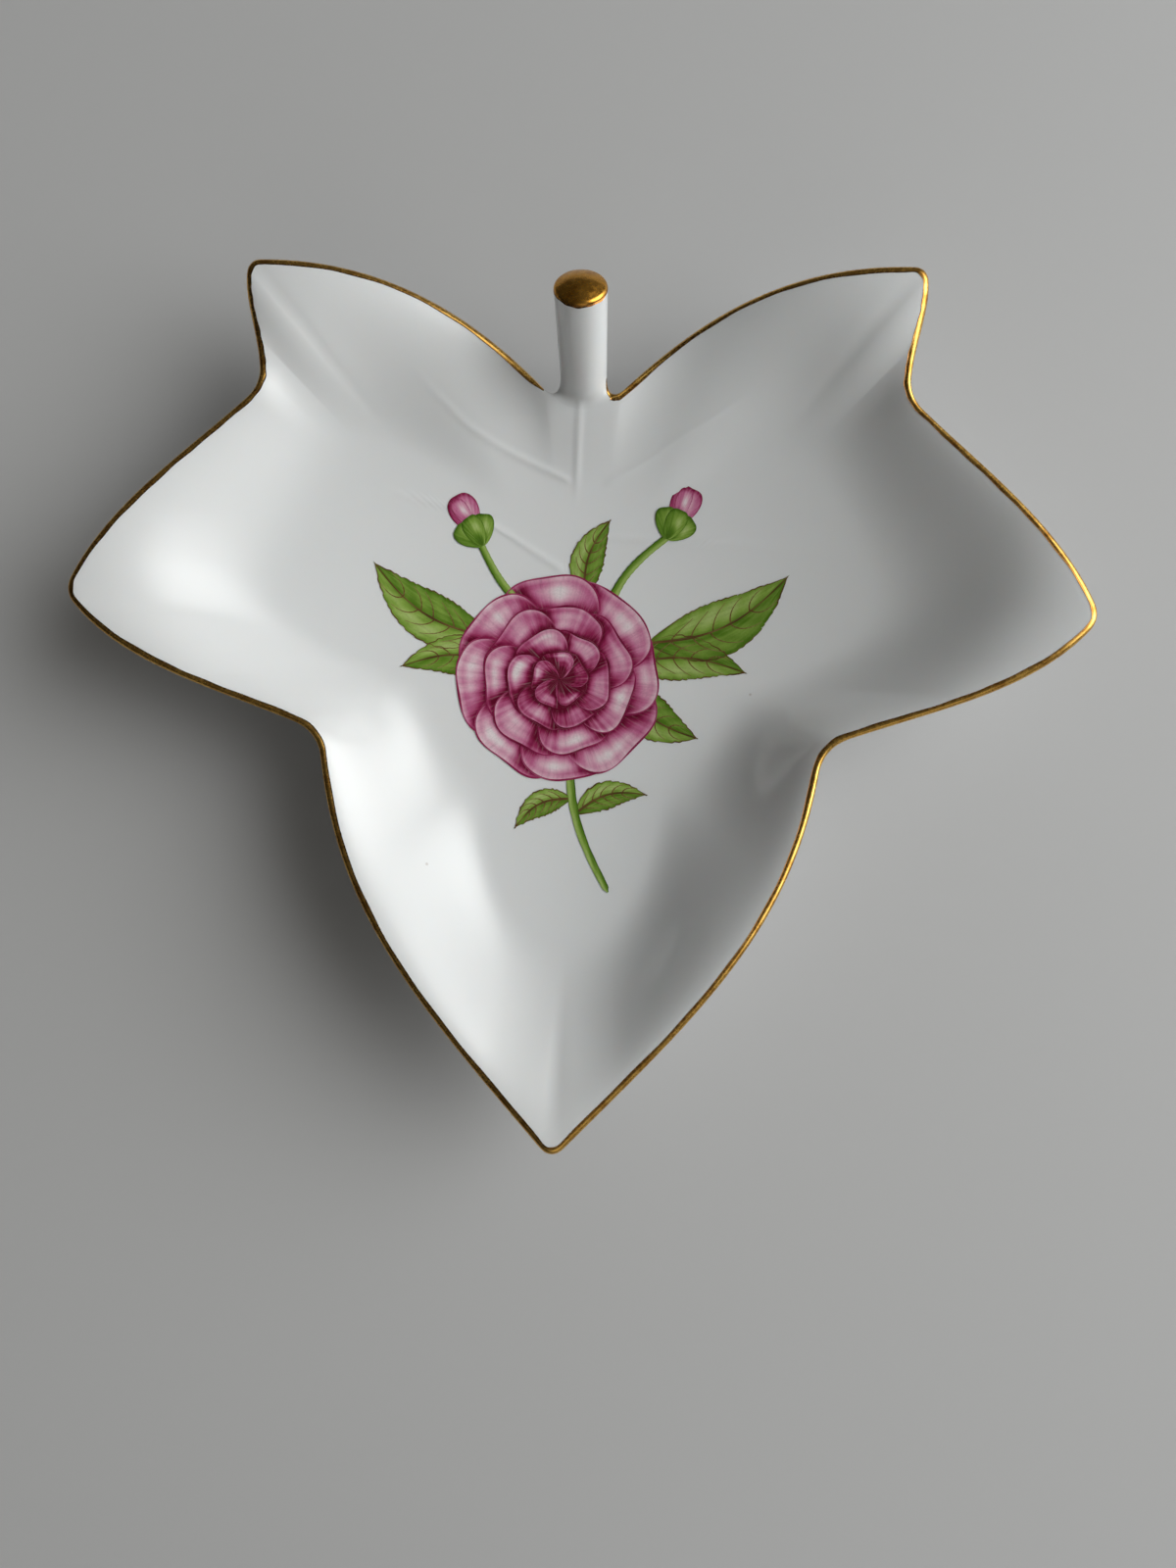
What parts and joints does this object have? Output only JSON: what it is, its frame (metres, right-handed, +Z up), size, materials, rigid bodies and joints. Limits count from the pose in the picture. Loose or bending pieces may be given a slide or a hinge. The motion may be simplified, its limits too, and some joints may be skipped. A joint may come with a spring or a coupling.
{
  "type": "leaf dish",
  "caption": "Shallow five-lobed leaf-shaped porcelain dish with a gently hollowed well, round foot ring, rising stem handle, gilded lip and a printed flower spray.",
  "frame": {"origin": "centre of the leaf's footprint, on the plane of the foot ring's standing face", "axes": "+Z up; +Y from the bottom tip towards the stem handle; +X to the right when seen from above with the stem away from the viewer; X = 0 is the leaf's plane of symmetry"},
  "size_m": [0.1654, 0.1431, 0.0315],
  "materials": {
    "white_glaze": "clear glossy glaze over white porcelain",
    "bare_foot": "unglazed, ground smooth",
    "stem_glaze": "clear glossy glaze over white porcelain",
    "gold_line": "hand-banded bright gold, slightly worn",
    "gold_cap": "brushed-on bright gold",
    "leaf_green": "onglaze print, fused and glossy",
    "rib_brown": "onglaze print, fused and glossy",
    "stalk_green": "onglaze print, fused and glossy",
    "sepal_green": "onglaze print, fused and glossy",
    "bud_pink": "onglaze print, fused and glossy",
    "pale_pink": "onglaze print, fused and glossy",
    "clear_pink": "onglaze print, fused and glossy",
    "deep_pink": "onglaze print, fused and glossy",
    "magenta": "onglaze print, fused and glossy",
    "petal_line_pink": "onglaze print, fused and glossy"
  },
  "bodies": {
    "root": {"leaf_body": "white_glaze", "foot_ring": "bare_foot", "stem_handle": "stem_glaze", "gilt_rim": "gold_line", "gilt_stem_cap": "gold_cap", "print_leaves": "leaf_green", "print_leaf_ribs": "rib_brown", "print_stalks": "stalk_green", "print_sepals": "sepal_green", "print_buds": "bud_pink", "print_outer_petals": "pale_pink", "print_middle_petals": "clear_pink", "print_inner_petals": "deep_pink", "print_flower_heart": "magenta", "print_petal_lines": "petal_line_pink"}
  },
  "joints": []
}
